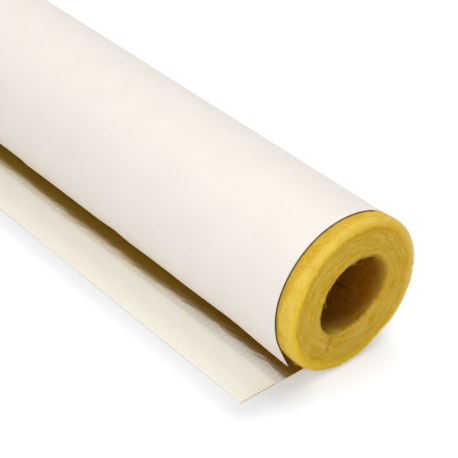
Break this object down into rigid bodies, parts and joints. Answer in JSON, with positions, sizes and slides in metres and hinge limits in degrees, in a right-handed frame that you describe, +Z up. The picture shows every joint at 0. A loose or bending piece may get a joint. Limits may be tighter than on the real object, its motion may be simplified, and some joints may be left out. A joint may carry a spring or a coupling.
{
  "type": "fiberglass pipe insulation",
  "caption": "Slit tube of wound glass wool for insulating a pipe, in a white paper and foil jacket whose self-sealing lap is laid out flat with its release strip on.",
  "frame": {"origin": "on the bore's axis, half-way along the wool tube", "axes": "+Y along the bore from the pictured end to the far end, +Z up from the floor that the lap lies on, and the lap towards -X"},
  "size_m": [0.1406, 0.9144, 0.1152],
  "materials": {
    "glass_wool": "matte",
    "jacket_laminate": "matte",
    "release_paper": "satin"
  },
  "bodies": {
    "root": {"wool_tube": "glass_wool", "jacket": "jacket_laminate", "release_strip": "release_paper"}
  },
  "joints": []
}
